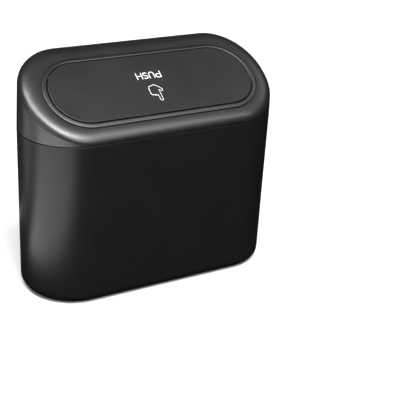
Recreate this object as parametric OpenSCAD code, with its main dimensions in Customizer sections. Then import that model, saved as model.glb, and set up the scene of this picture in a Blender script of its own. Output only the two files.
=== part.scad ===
/* [Bin] */
// Overall length of the bin at the seam
bin_len = 160; // [140:1:200]
// Overall depth of the bin at the seam, front to back
bin_dep = 64; // [60:1:80]
// Height of the seam between the bin and its lid
seam_z = 98; // [90:1:130]
// Radius of the rounded ends in plan
end_r = 31; // [24:0.5:40]
// How far each end draws in from the seam to the foot
end_draft = 1.3; // [0:0.1:3]
// How far the front and the back draw in from the seam to the foot
side_draft = 0.4; // [0:0.1:1.5]
// Radius of the rounded edge around the foot
foot_r = 6; // [3:0.5:8]
// Wall of the bin and of the lid
wall = 2.2; // [1.9:0.1:2.6]
// Thickness of the floor
floor_t = 2.4; // [1.8:0.1:4]
// Radius inside, where the floor meets the wall
floor_r = 4; // [2:0.5:6]
// Height of the locating lip above the seam
lip_h = 1.5; // [1:0.1:1.6]
// How far behind the middle the locating lip ends
lip_back = 10; // [0:1:14]

/* [Lid] */
// Slope of the lid's top
slope = 33; // [26:0.5:36]
// Height of the top's front edge over the seam, before the rim is crowned
front_h = 4.3; // [4:0.1:10]
// Radius that sets where the rim's crown leaves the wall along the front
rim_front_r = 6; // [3:0.5:7]
// Radius that sets where the rim's crown leaves the wall along the back
rim_back_r = 5.7; // [3:0.1:8]
// Reach of the crown over the top along the front, seen from above
crown_front = 5.6; // [4:0.1:6]
// Reach of the crown over the top at the ends, seen from above
crown_end = 10.5; // [7:0.1:11.5]
// Reach of the crown over the top along the back, seen from above
crown_back = 12; // [9:0.1:14.5]
// Fullness of the crown
crown_full = 1.15; // [1:0.05:1.4]
// Radius inside the rim along the front
inner_front_r = 1.2; // [0.6:0.1:1.4]
// Radius inside the rim at the ends
inner_end_r = 5; // [4:0.1:6]
// Radius inside the rim along the back
inner_back_r = 4.7; // [3:0.1:6]
// How far the lid wall leans in from the seam to the back rim
lid_lean = 1.2; // [0:0.1:2]
// Gap that shows at the seam
seam_gap = 0.3; // [0.2:0.05:0.6]
// Thickness of the lid's skirt outside the locating lip
skirt_t = 1; // [0.8:0.05:1.1]
// Clearance between the locating lip and the skirt
lip_gap = 0.3; // [0.2:0.05:0.4]

/* [Flap] */
// Lid rim left at each end of the frame around the flap
end_margin = 11.9; // [11.5:0.1:20]
// Lid rim left in front of the frame, seen from above
front_margin = 6.1; // [5.9:0.1:12]
// Lid rim left behind the frame, seen from above
back_margin = 16.3; // [16:0.1:22]
// Corner radius of the frame
frame_r = 23.6; // [18:0.1:24]
// Width of the raised frame around the flap
frame_w = 2.9; // [1.5:0.1:4]
// Height of the frame and of the flap over the lid's top
frame_h = 0.8; // [0.6:0.1:1.2]
// Gap all round the flap
flap_gap = 0.5; // [0.45:0.05:0.8]
// How far the opening widens from the frame's top down to the lid's underside
opening_draft = 0.3; // [0.2:0.05:0.5]
// Rounding of the flap's upper edge
flap_edge_r = 0.3; // [0.2:0.05:0.6]
// Thickness of the flap's panel
panel_t = 2.2; // [1.6:0.1:3]
// Thickness of the flap's edge wall
edge_t = 1.6; // [1.2:0.1:2.4]
// How far the edge wall reaches below the lid's top
edge_drop = 4.4; // [4:0.1:4.6]
// How far the stop flange laps under the lid's rim
stop_lap = 1.2; // [0.9:0.1:1.6]
// Thickness of the stop flange
stop_t = 1.6; // [1.2:0.1:1.8]
// Thickness of the stiffening ribs
rib_t = 1.2; // [0.8:0.1:2]
// Distance from each spring in to the rib beside it
rib_in = 14; // [6:0.5:20]
// Depth of the stiffening ribs below the panel
rib_h = 2.4; // [1:0.1:2.8]

/* [Flap pivot] */
// Diameter of the steel axle and of the steel hinge pin
pin_d = 2; // [1.6:0.1:2.4]
// Running clearance around each pin, on the radius
pin_clear = 0.05; // [0.02:0.01:0.1]
// Distance from the flap's back edge to the axle
axle_in = 3.5; // [3:0.1:5]
// Depth of the axle below the lid's top
axle_drop = 6; // [5.8:0.1:7]
// Outer radius of the lugs and bosses around the axle
lug_r = 3; // [2.4:0.1:3.4]
// Thickness of the flap's lugs
lug_t = 3; // [2:0.1:4]
// Thickness of the lid's bosses
boss_t = 4.2; // [3:0.1:5]
// Closed end of each boss, past the axle
boss_end = 1.2; // [0.8:0.1:1.6]
// How far each lug reaches past the straight part of the flap's back edge
lug_past = 3; // [0:0.5:3]
// Width of the slot by which the axle snaps into a boss
snap_slot = 1.7; // [1.2:0.1:1.8]

/* [Flap spring] */
// Wire diameter of the torsion springs
wire_d = 0.8; // [0.6:0.05:1]
// Mean radius of the coils
coil_r = 2; // [1.8:0.05:2.2]
// Full turns in each spring
turns = 4; // [3:1:6]
// Distance from turn to turn
coil_pitch = 0.95; // [0.9:0.05:1.2]
// Reach of the leg under the flap
flap_leg = 14; // [8:0.5:20]
// Reach of the leg under the lid
lid_leg = 9; // [7:0.5:10]

/* [Lid hinge] */
// Overall length of the hinge
hinge_len = 79; // [60:1:84]
// Length of each outer knuckle
knuckle_len = 11; // [8:0.5:16]
// Gap between the knuckles and the lid
hinge_play = 0.8; // [0.5:0.1:1.2]
// Height of the hinge pin above the seam
hinge_up = 4.3; // [4:0.1:5]
// Distance of the hinge pin behind the back wall
hinge_out = 1.5; // [1.2:0.1:2]
// Outer diameter of the knuckles and of the lid's barrel
barrel_d = 6; // [5.4:0.1:6.4]
// Thickness of the strip that carries the knuckles
strip_t = 2.4; // [1.8:0.1:3.5]
// Closed end of the hinge bore
bore_end = 1.5; // [1:0.1:3]

/* [Rear clip] */
// Width of the clip's plate
clip_w = 49; // [44:1:56]
// Thickness of the clip
clip_t = 2.2; // [1.8:0.1:2.8]
// Distance from the seam down to the clip's shoulder
clip_down = 5.6; // [5:0.1:8]
// Fall of the shoulder from the bin out to the plate
shoulder_fall = 4.1; // [2:0.1:6]
// Clear space between the bin and the plate
clip_gap = 8.4; // [7:0.1:12]
// Length of the plate's flat part
plate_len = 35.5; // [25:0.5:40]
// Height of the part that leans in below the plate
lean_len = 8.2; // [6:0.1:12]
// How far the throat leans in from the plate
throat_in = 4.5; // [2:0.1:5]
// Height of the flared lip
lip_len = 6.1; // [4:0.1:9]
// How far the lip flares back out
lip_out = 4; // [2:0.1:6]
// Radius of the clip's bends, along the middle of its thickness
bend_r = 2.4; // [2:0.1:3]
// Width of the clip's leg, which slides into the socket
leg_w = 36; // [30:1:38]
// Length of the clip's leg
leg_len = 20; // [16:0.5:26]
// Clearance between the leg and its socket
leg_clear = 0.2; // [0.1:0.05:0.4]
// Width and thickness of the socket's rails
rail_t = 2.2; // [1.8:0.1:2.6]
// Width of the snap nub that locks the leg
nub_w = 9; // [6:0.5:14]
// Height of the snap nub
nub_h = 3.6; // [2.5:0.1:5]
// Distance from the leg's lower end up to the snap nub
nub_up = 6; // [5:0.1:8]

/* [Hidden] */

// Steps in each quarter turn of an outline, in the rims and in the springs
arc_n = 16;
rim_n = 6;
inner_n = 4;
bend_n = 6;
coil_n = 12;
wire_n = 8;
hole_fn = 48;

// Small overlap by which fused shapes reach into each other
sunk = 0.6;
// Length by which a cut runs past the surface it opens
past = 1;

black = [0.07, 0.07, 0.075];
panel_black = [0.11, 0.11, 0.12];
steel = [0.72, 0.73, 0.75];

// Plan of the bin: the ends turn about centres that stay put while the walls draw in
end_rad = min(end_r, bin_dep / 2 - 1);
centre_x = bin_len / 2 - end_rad;
function drawn(z) = 1 - min(z, seam_z) / seam_z;
function bin_r(z) = end_rad - end_draft * drawn(z);
function bin_half_dep(z) = bin_dep / 2 - side_draft * drawn(z);

// Lid: its top is a plane that passes over the bin's middle at top_z
top_z = seam_z + front_h + tan(slope) * bin_dep / 2;
back_h = front_h + tan(slope) * bin_dep;
lid_z = seam_z + seam_gap;
step_z = lid_z + lip_h + seam_gap;
top_drop = wall / cos(slope);
centre_y = bin_dep / 2 - end_rad;

// Flap opening in the plane of the top: u runs up the slope, n stands out of it
open_front = (front_margin - bin_dep / 2) / cos(slope) + frame_w;
open_back = (bin_dep / 2 - back_margin) / cos(slope) - frame_w;
open_half = (open_back - open_front) / 2;
open_mid = (open_back + open_front) / 2;
open_rad = min(frame_r - frame_w, open_half - 1);
open_cx = bin_len / 2 - end_margin - frame_w - open_rad;
open_cy = open_half - open_rad;

// Section of the frame, from its steep foot over to the opening, in shares of width and height
frame_profile = [[1, 0], [0.94, 0.32], [0.75, 0.58], [0.45, 0.84], [0.12, 1], [0, 0.9]];

// Axle of the flap
axle_u = open_back - flap_gap - axle_in;
axle_n = -axle_drop;
bore_r = pin_d / 2 + pin_clear;
corner_u = open_rad - axle_in - flap_gap - lug_r - past;
boss_x = open_cx + sqrt(pow(open_rad, 2) - pow(corner_u, 2)) + sunk;
boss_open = boss_t - boss_end;
lug_x = open_cx + lug_past - lug_t;
panel_under = frame_h - panel_t;

// Springs: each leaves the top of its coils for the flap in front and for the lid behind
touch = wire_d / 2 + 0.1;
flap_leg_n = panel_under + axle_drop - touch;
lid_leg_n = axle_drop - wall - touch;
flap_leg_a = atan2(flap_leg, flap_leg_n) + asin(coil_r / norm([flap_leg, flap_leg_n]));
lid_leg_a = atan2(lid_leg_n, lid_leg) + acos(coil_r / norm([lid_leg, lid_leg_n]));
wound = flap_leg_a - lid_leg_a + 360 * turns;
wind_n = ceil(wound / 360 * coil_n);
spring_x = lug_x - wire_d - turns * coil_pitch;
rib_x = spring_x - rib_in;

// Hinge of the lid
hinge_y = bin_dep / 2 + hinge_out;
hinge_z = seam_z + hinge_up;
barrel_r = barrel_d / 2;
barrel_half = hinge_len / 2 - knuckle_len - hinge_play;
knuckle_x = hinge_len / 2 - knuckle_len;
notch_top = barrel_r + hinge_play + 0.5;

// Clip: its middle line runs leg, shoulder, plate, throat, lip, as y and z
leg_y = bin_dep / 2 + leg_clear + clip_t / 2;
leg_top = seam_z - clip_down;
plate_y = bin_dep / 2 + clip_gap + clip_t / 2;
plate_top = leg_top - shoulder_fall;
plate_low = plate_top - plate_len;
throat_z = plate_low - lean_len;
clip_path = [
    [leg_y, leg_top - leg_len],
    [leg_y, leg_top],
    [plate_y, plate_top],
    [plate_y, plate_low],
    [plate_y - throat_in, throat_z],
    [plate_y - throat_in + lip_out, throat_z - lip_len]
];
leg_low = leg_top - leg_len;
rail_in = bin_dep / 2 + clip_t + 2 * leg_clear;
rail_out = rail_in + rail_t;
rail_x = leg_w / 2 + leg_clear;
rail_top = leg_top - shoulder_fall - clip_t / 2;
nub_z = leg_low + nub_up;

// A rounded rectangle as points, each with the direction that it faces: [x, y, dx, dy]
function outline(cx, cy, r) = [
    for (q = [0:3], i = [0:arc_n])
        let (
            a = 90 * (q + i / arc_n),
            sx = q == 0 || q == 3 ? 1 : -1,
            sy = q < 2 ? 1 : -1
        )
        [sx * cx + r * cos(a), sy * cy + r * sin(a), cos(a), sin(a)]
];

// Ring of the bin at height z, drawn in by inset
function bin_ring(z, inset) = [
    for (p = outline(centre_x, bin_half_dep(z) - bin_r(z), bin_r(z) - inset))
        [p[0], p[1], z]
];

// Height of the lid's top over a place y in plan
function top_at(y) = top_z + y * tan(slope);

// A value that runs smoothly from the front over the ends to the back, as dir goes -1, 0, 1
function around(front, end, back, dir) =
    end + (back - front) / 2 * dir + ((back + front) / 2 - end) * dir * dir;

// Ring of the lid's crowned rim outside, a conic about the corner of wall and top: step 0 is
// where the wall ends and step 1 lies on the top
function crown_ring(step) = [
    for (p = outline(centre_x, centre_y, end_rad))
        let (
            rise = atan(-tan(slope) * p[3]),
            r = rim_front_r + (rim_back_r - rim_front_r) * (1 + p[3]) / 2,
            down = r / tan((90 + rise) / 2),
            over = around(crown_front, crown_end, crown_back, p[3]),
            rate = lid_lean / back_h,
            corner_in = rate * (top_at(p[1]) - lid_z),
            corner_z = top_at(p[1] - corner_in * p[3]),
            top_in = corner_in + over,
            a = pow(1 - step, 2),
            b = 2 * cos((90 - rise) / 2) * crown_full * step * (1 - step),
            c = pow(step, 2),
            in = (a * (corner_in - rate * down) + b * corner_in + c * top_in) / (a + b + c),
            z = (a * (corner_z - down) + b * corner_z + c * top_at(p[1] - top_in * p[3]))
                / (a + b + c)
        )
        [p[0] - in * p[2], p[1] - in * p[3], z]
];

// Ring of the rounding inside the rim, below the top by top_drop
function inner_ring(step) = [
    for (p = outline(centre_x, centre_y, end_rad - wall))
        let (
            rise = atan(-tan(slope) * p[3]),
            r = around(inner_front_r, inner_end_r, inner_back_r, p[3]),
            tangent = r / tan((90 + rise) / 2),
            lean = lid_lean * max(0, top_at(p[1]) - top_drop - tangent - lid_z) / back_h,
            turn = 180 - step * (90 - rise),
            in = lean + r * (1 + cos(turn)),
            z = top_at(p[1] - lean * p[3]) - top_drop - tangent + r * sin(turn)
        )
        [p[0] - in * p[2], p[1] - in * p[3], z]
];

// A place given along the slope, in the frame of the part
function on_top(p) = [
    p[0],
    p[1] * cos(slope) - p[2] * sin(slope),
    top_z + p[1] * sin(slope) + p[2] * cos(slope)
];

// Ring around the flap's opening, out from its edge by out and at height n over the top
function opening_outline(out) = [
    for (p = outline(open_cx, open_cy, open_rad + out)) [p[0], p[1] + open_mid]
];
function opening_ring(out, n) = [for (p = opening_outline(out)) on_top([p[0], p[1], n])];
function flap_ring(out, n) = [for (p = opening_outline(out - flap_gap)) [p[0], p[1], n]];

// Points of a strip of thickness t along a path of straight runs joined by bends of radius r
function unit(v) = v / norm(v);
function left_of(v) = [-v[1], v[0]];
function bend_side(path, r, side) = [
    for (k = [1:len(path) - 2])
        let (
            a = unit(path[k] - path[k - 1]),
            b = unit(path[k + 1] - path[k]),
            turn = atan2(a[0] * b[1] - a[1] * b[0], a * b),
            hand = sign(turn),
            centre = path[k] - a * r * tan(abs(turn) / 2) + left_of(a) * hand * r,
            from = left_of(a) * (side - hand * r),
            heading = atan2(from[1], from[0])
        )
        for (i = [0:bend_n])
            centre + norm(from) * [cos(heading + turn * i / bend_n), sin(heading + turn * i / bend_n)]
];
function strip_side(path, r, side) =
    let (last = len(path) - 1)
    concat(
        [path[0] + left_of(unit(path[1] - path[0])) * side],
        bend_side(path, r, side),
        [path[last] + left_of(unit(path[last] - path[last - 1])) * side]
    );
function strip(path, t, r) = concat(
    strip_side(path, r, t / 2),
    [for (i = [0:(len(path) - 2) * (bend_n + 1) + 1])
        strip_side(path, r, -t / 2)[(len(path) - 2) * (bend_n + 1) + 1 - i]]
);

// A plate with a half-round end about the pin's axis, and its flat end at height h
function lug_profile(r, h) = concat(
    [[r, h], [-r, h]],
    [for (i = [0:coil_n]) let (a = 180 + 180 * i / coil_n) [r * cos(a), r * sin(a)]]
);

// Middle line of a torsion spring about its own axis: [x, u, n, direction out of the coil]
function wire_points() = concat(
    [[0, -flap_leg, flap_leg_n, flap_leg_a]],
    [for (i = [0:wind_n])
        let (gone = wound * i / wind_n, a = flap_leg_a - gone)
        [coil_pitch * gone / 360, coil_r * cos(a), coil_r * sin(a), a]],
    [[coil_pitch * wound / 360, lid_leg, lid_leg_n, lid_leg_a]]
);
function wire_ring(p) = [
    for (j = [0:wire_n - 1])
        let (t = -360 * j / wire_n, side = wire_d / 2 * cos(t), out = wire_d / 2 * sin(t))
        [p[0] + side, p[1] + out * cos(p[3]), p[2] + out * sin(p[3])]
];

// Skin over a list of rings: an endless tube if closed, and otherwise capped at both ends
module skin(rings, closed = false) {
    n = len(rings[0]);
    m = len(rings);
    sides = [
        for (k = [0:closed ? m - 1 : m - 2], i = [0:n - 1])
            let (
                a = k * n + i,
                b = k * n + (i + 1) % n,
                c = (k + 1) % m * n + (i + 1) % n,
                d = (k + 1) % m * n + i
            )
            each [[a, c, b], [a, d, c]]
    ];
    caps = closed ? [] : [
        [for (i = [0:n - 1]) i],
        [for (i = [n - 1:-1:0]) (m - 1) * n + i]
    ];
    polyhedron(points = [for (r = rings) each r], faces = concat(sides, caps));
}

// Children drawn in the plane of the lid's top: x along the bin, y up the slope, z out of it
module top_frame() {
    translate([0, 0, top_z]) rotate([slope, 0, 0]) children();
}

// A profile given as y and z, drawn along x from its place from over a length
module along_x(from, length) {
    translate([from, 0, 0]) rotate([90, 0, 90]) linear_extrude(length) children();
}

// A pin along x, centred on the part's middle unless it is given a place
module x_pin(r, from, length) {
    translate([from, 0, 0]) rotate([0, 90, 0]) cylinder(h = length, r = r, $fn = hole_fn);
}

module bin_shell() {
    skin(concat(
        [for (i = [0:bend_n])
            let (a = 90 * i / bend_n)
            bin_ring(foot_r * (1 - cos(a)), foot_r * (1 - sin(a)))],
        [
            bin_ring(seam_z, 0),
            bin_ring(seam_z, skirt_t + lip_gap),
            bin_ring(seam_z + lip_h, skirt_t + lip_gap),
            bin_ring(seam_z + lip_h, wall)
        ],
        [for (i = [bend_n:-1:0])
            let (a = 90 * i / bend_n)
            bin_ring(floor_t + floor_r * (1 - cos(a)), wall + floor_r * (1 - sin(a)))]
    ));
}

// The locating lip stops short of the back, where the lid's skirt swings in as it opens
module lip_cut() {
    translate([-bin_len / 2, lip_back, seam_z])
        cube([bin_len, bin_dep, lip_h + past]);
}

// Two knuckles on a strip, moulded with the bin
module bin_knuckles() {
    for (from = [-hinge_len / 2, knuckle_x])
        translate([0, hinge_y, hinge_z])
            along_x(from, knuckle_len)
                rotate(180)
                    polygon(lug_profile(barrel_r, hinge_up + strip_t));
    translate([-hinge_len / 2, bin_dep / 2 - sunk, seam_z - strip_t])
        cube([hinge_len, hinge_out + barrel_r + sunk, strip_t]);
}

// Socket on the back wall: two hooked rails, a ledge below them and a snap nub between them
module clip_socket() {
    back = bin_dep / 2 - side_draft - sunk;
    for (s = [0, 1])
        mirror([s, 0, 0])
            translate([0, 0, leg_low])
                linear_extrude(rail_top - leg_low)
                    polygon([
                        [rail_x, back], [rail_x + rail_t, back],
                        [rail_x + rail_t, rail_out], [rail_x - rail_t, rail_out],
                        [rail_x - rail_t, rail_in], [rail_x, rail_in]
                    ]);
    translate([-rail_x - rail_t, back, leg_low - rail_t - leg_clear])
        cube([2 * (rail_x + rail_t), rail_out - back, rail_t]);
    along_x(-nub_w / 2, nub_w)
        polygon([
            [back, nub_z], [leg_y + clip_t / 4, nub_z],
            [leg_y + clip_t / 4, nub_z + nub_h / 4], [back, nub_z + nub_h]
        ]);
}

module bin_body() {
    color(black)
        difference() {
            union() {
                difference() {
                    bin_shell();
                    lip_cut();
                }
                bin_knuckles();
                clip_socket();
            }
            translate([0, hinge_y, hinge_z])
                x_pin(bore_r, bore_end - hinge_len / 2, hinge_len);
        }
}

// The clip is a bent plate: its leg slides down between the rails and locks over the nub
module rear_clip() {
    color(black)
        difference() {
            along_x(-clip_w / 2, clip_w) polygon(strip(clip_path, clip_t, bend_r));
            for (s = [0, 1])
                mirror([s, 0, 0])
                    translate([leg_w / 2, bin_dep / 2 - past, leg_low - past])
                        cube([clip_w, rail_out + leg_clear + past - bin_dep / 2,
                            rail_top + leg_clear + past - leg_low]);
            translate([-nub_w / 2 - leg_clear, bin_dep / 2 - past, nub_z - leg_clear])
                cube([nub_w + 2 * leg_clear, clip_t + 2 * past, nub_h + 2 * leg_clear]);
        }
}

module lid_hinge_pin() {
    color(steel)
        translate([0, hinge_y, hinge_z])
            x_pin(pin_d / 2, bore_end + leg_clear - hinge_len / 2, hinge_len - bore_end - leg_clear);
}

// One endless tube of rings: up the wall, over the rim, through the opening and back inside
module lid_shell() {
    skin(concat(
        [bin_seam_ring(0, lid_z)],
        [for (k = [0:rim_n]) crown_ring(k / rim_n)],
        [for (p = frame_profile) opening_ring(p[0] * frame_w, p[1] * frame_h)],
        [opening_ring(opening_draft, -wall)],
        [for (k = [inner_n:-1:0]) inner_ring(k / inner_n)],
        [
            bin_seam_ring(wall, step_z),
            bin_seam_ring(skirt_t, step_z),
            bin_seam_ring(skirt_t, lid_z)
        ]
    ), closed = true);
}

// Ring of the lid's foot, which follows the bin's outline at the seam
function bin_seam_ring(inset, z) = [
    for (p = outline(centre_x, centre_y, end_rad - inset)) [p[0], p[1], z]
];

// Boss under the lid for one end of the axle, which snaps in from below
module axle_boss() {
    translate([0, axle_u, axle_n]) {
        difference() {
            along_x(boss_x, boss_t)
                polygon(lug_profile(lug_r, axle_drop - wall + sunk));
            x_pin(bore_r, boss_x - past, boss_open + past);
            translate([boss_x - past, -snap_slot / 2, -lug_r - past])
                cube([boss_open + past, snap_slot, lug_r + past]);
        }
    }
}

module lid_frame() {
    color(black)
        difference() {
            union() {
                lid_shell();
                translate([0, hinge_y, hinge_z]) x_pin(barrel_r, -barrel_half, 2 * barrel_half);
                top_frame() for (s = [0, 1]) mirror([s, 0, 0]) axle_boss();
            }
            translate([0, hinge_y, hinge_z])
                x_pin(bore_r, -barrel_half - past, 2 * (barrel_half + past));
            for (s = [0, 1])
                mirror([s, 0, 0])
                    translate([barrel_half, bin_dep / 2 - wall - past, seam_z - past])
                        cube([knuckle_len + 2 * hinge_play, wall + barrel_r + past,
                            hinge_up + notch_top + past]);
        }
}

module flap_axle() {
    half = boss_x + boss_open - leg_clear;
    color(steel) top_frame() translate([0, axle_u, axle_n]) x_pin(pin_d / 2, -half, 2 * half);
}

// A torsion spring: one leg lifts the flap in front and the other bears on the lid behind
module flap_spring() {
    color(steel)
        top_frame()
            translate([spring_x, axle_u, axle_n])
                skin([for (p = wire_points()) wire_ring(p)]);
}

module flap_spring_left() {
    mirror([1, 0, 0]) flap_spring();
}

module flap_spring_right() {
    flap_spring();
}

// Panel, flush with the frame around it, with an edge wall below
module flap_panel() {
    skin([
        flap_ring(-edge_t, panel_under),
        flap_ring(-edge_t, -edge_drop),
        flap_ring(0, -edge_drop),
        flap_ring(0, frame_h - flap_edge_r),
        flap_ring(-flap_edge_r / 3, frame_h - flap_edge_r / 3),
        flap_ring(-flap_edge_r, frame_h)
    ]);
}

// The flange that stops the flap against the underside of the lid, around its front part
module stop_flange() {
    translate([0, 0, -wall - seam_gap - stop_t])
        linear_extrude(stop_t)
            difference() {
                polygon([for (p = opening_outline(stop_lap)) p]);
                polygon([for (p = opening_outline(-flap_gap - edge_t / 2)) p]);
                translate([-bin_len, open_mid]) square([2 * bin_len, bin_dep]);
            }
}

module flap_lug() {
    translate([0, axle_u, axle_n])
        along_x(lug_x, lug_t)
            polygon(lug_profile(lug_r, axle_drop + panel_under + sunk));
}

module flap_ribs() {
    for (x = [-rib_x, 0, rib_x])
        translate([x - rib_t / 2, open_front + flap_gap + edge_t / 2, panel_under - rib_h])
            cube([rib_t, 2 * open_half - 2 * flap_gap - edge_t, rib_h + sunk]);
}

// Room behind the axle for the springs' legs, cut out of the edge wall
module spring_relief() {
    translate([-lug_x - lug_t, axle_u, -edge_drop - past])
        cube([2 * (lug_x + lug_t), bin_dep, edge_drop + past + panel_under]);
}

module push_flap() {
    color(panel_black)
        top_frame()
            difference() {
                union() {
                    difference() {
                        union() {
                            flap_panel();
                            stop_flange();
                            flap_ribs();
                        }
                        spring_relief();
                    }
                    for (s = [0, 1]) mirror([s, 0, 0]) flap_lug();
                }
                translate([0, axle_u, axle_n])
                    x_pin(bore_r, -lug_x - lug_t - past, 2 * (lug_x + lug_t + past));
            }
}

bin_body();
rear_clip();
lid_hinge_pin();
lid_frame();
flap_axle();
flap_spring_left();
flap_spring_right();
push_flap();
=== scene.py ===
import math

import bmesh
import bpy
from bpy.props import FloatProperty, FloatVectorProperty, IntProperty, PointerProperty
from mathutils import Matrix, Vector


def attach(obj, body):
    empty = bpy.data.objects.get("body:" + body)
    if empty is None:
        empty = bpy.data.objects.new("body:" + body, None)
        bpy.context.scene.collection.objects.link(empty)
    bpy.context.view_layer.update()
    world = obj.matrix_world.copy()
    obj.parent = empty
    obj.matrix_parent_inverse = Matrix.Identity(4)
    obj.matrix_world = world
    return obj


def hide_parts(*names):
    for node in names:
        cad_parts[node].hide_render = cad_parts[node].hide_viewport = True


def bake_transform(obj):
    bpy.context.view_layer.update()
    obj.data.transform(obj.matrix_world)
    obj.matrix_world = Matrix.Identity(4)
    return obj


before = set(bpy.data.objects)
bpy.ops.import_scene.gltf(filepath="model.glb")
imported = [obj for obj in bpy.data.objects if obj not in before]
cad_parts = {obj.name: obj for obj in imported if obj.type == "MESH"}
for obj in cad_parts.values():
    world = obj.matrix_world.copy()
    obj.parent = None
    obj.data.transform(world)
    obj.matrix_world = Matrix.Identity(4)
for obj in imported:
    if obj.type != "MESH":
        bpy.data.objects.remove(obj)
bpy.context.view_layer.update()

bl_info = {
    "name": "Car trash bin",
    "version": (1, 0, 0),
    "blender": (4, 5, 0),
    "location": "3D View > Sidebar > Trash bin",
    "description": "Builds a small car waste bin with a push flap, a hinged lid and a rear clip",
    "category": "Add Mesh",
}

MM = 0.001

# Steps in a quarter turn of the plan, across the crown, in a small bend and over an edge
PLAN_STEPS = 28
CROWN_STEPS = 20
BEND_STEPS = 10
EDGE_STEPS = 3
# Steps in a full turn of a pin, in a boss's snap slot, in a turn of a spring, round its wire
# and in the curve of a letter
TURN_STEPS = 48
SNAP_STEPS = 12
COIL_STEPS = 40
WIRE_STEPS = 16
LETTER_STEPS = 14

# Rounding of a crisp moulded edge, and how deep fused shapes reach into each other
CRISP = 0.3 * MM
SUNK = 0.6 * MM
# An edge that turns more than this is shaded as sharp
SHARP_ANGLE = math.radians(38)
# Share of the locating lip that is left where it has run out, so that no face vanishes
LIP_LEFT = 0.02
# Clearance of a spring's legs, and how deep the printed ink sits in the panel
LEG_CLEAR = 0.1 * MM
INK_SUNK = 0.02 * MM


# Sizes and colours

def length(name, size_mm, description):
    """A length, kept in metres and given here in millimetres."""
    return FloatProperty(
        name=name, description=description, default=size_mm * MM, unit="LENGTH", precision=5)


def lengths(name, sizes_mm, description):
    """Lengths of one kind at several places, in order."""
    return FloatVectorProperty(
        name=name, description=description, default=[size * MM for size in sizes_mm],
        size=len(sizes_mm), unit="LENGTH", precision=5)


def angle(name, degrees, description):
    return FloatProperty(
        name=name, description=description, default=math.radians(degrees), subtype="ANGLE")


def colour(name, rgb, description):
    return FloatVectorProperty(
        name=name, description=description, default=rgb, size=3, min=0, max=1, subtype="COLOR")


def share(name, amount, description):
    return FloatProperty(
        name=name, description=description, default=amount, min=0, max=1, subtype="FACTOR")


def power(name, watts, description):
    return FloatProperty(
        name=name, description=description, default=watts, min=0, unit="POWER")


class BinSizes(bpy.types.PropertyGroup):
    length: length("Length", 160, "Overall length at the seam")
    depth: length("Depth", 64, "Overall depth at the seam")
    seam: length("Seam", 98, "Height of the seam under the lid")
    end_radius: length("End radius", 31, "Radius of the rounded ends in plan")
    end_draft: length("End draft", 1.3, "How far each end draws in down to the foot")
    side_draft: length("Side draft", 0.4, "How far front and back draw in down to the foot")
    foot_radius: length("Foot radius", 6, "Rounding around the foot")
    wall: length("Wall", 2.2, "Wall of the bin and of the lid")
    floor: length("Floor", 2.4, "Thickness of the floor")
    floor_radius: length("Floor radius", 4, "Rounding inside, where the floor meets the wall")
    lip: length("Lip", 1.5, "Height of the locating lip above the seam")
    lip_back: length("Lip end", 10, "How far behind the middle the locating lip ends")
    lip_run: length("Lip run-out", 3, "Length over which the locating lip runs out")


class LidSizes(bpy.types.PropertyGroup):
    slope: angle("Slope", 33, "Slope of the top")
    front: length("Front height", 4.3, "Height of the top's front edge over the seam")
    rim: lengths("Rim", (6, 5.7), "Sets where the crown leaves the wall, in front and behind")
    inner: lengths("Inner rim", (1.2, 5, 4.7), "Radius inside the rim: front, ends and back")
    crown: lengths("Crown", (5.6, 10.5, 12), "Reach over the top: front, ends and back")
    crown_full: FloatProperty(
        name="Fullness", description="Fullness of the crown, where 1 comes nearest to an arc",
        default=1.15, min=0.5, max=2)
    lean: length("Lean", 1.2, "How far the wall leans in from the seam to the back rim")
    seam_gap: length("Seam gap", 0.3, "Gap that shows at the seam")
    skirt: length("Skirt", 1, "Thickness of the skirt outside the locating lip")
    lip_gap: length("Lip gap", 0.3, "Clearance between the locating lip and the skirt")


class FlapSizes(bpy.types.PropertyGroup):
    end_margin: length("End margin", 11.9, "Lid rim left at each end of the frame")
    front_margin: length("Front margin", 6.1, "Lid rim left in front of the frame, in plan")
    back_margin: length("Back margin", 16.3, "Lid rim left behind the frame, in plan")
    corner: length("Corner radius", 23.6, "Corner radius of the frame")
    frame_width: length("Frame width", 2.9, "Width of the raised frame around the flap")
    frame_height: length("Frame height", 0.8, "Height of frame and flap over the lid's top")
    gap: length("Gap", 0.5, "Gap all round the flap")
    draft: length("Opening draft", 0.3, "How far the opening widens down to the lid's underside")
    edge_round: length("Edge rounding", 0.3, "Rounding of the flap's upper edge")
    panel: length("Panel", 2.2, "Thickness of the panel")
    edge: length("Edge wall", 1.6, "Thickness of the edge wall")
    drop: length("Edge drop", 4.4, "How far the edge wall reaches below the lid's top")
    stop_lap: length("Stop lap", 1.2, "How far the stop flange laps under the lid's rim")
    stop: length("Stop flange", 1.6, "Thickness of the stop flange")
    rib: length("Rib", 1.2, "Thickness of the stiffening ribs")
    rib_in: length("Rib inset", 14, "Distance from each spring in to the rib beside it")
    rib_height: length("Rib height", 2.4, "Depth of the stiffening ribs")


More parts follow.
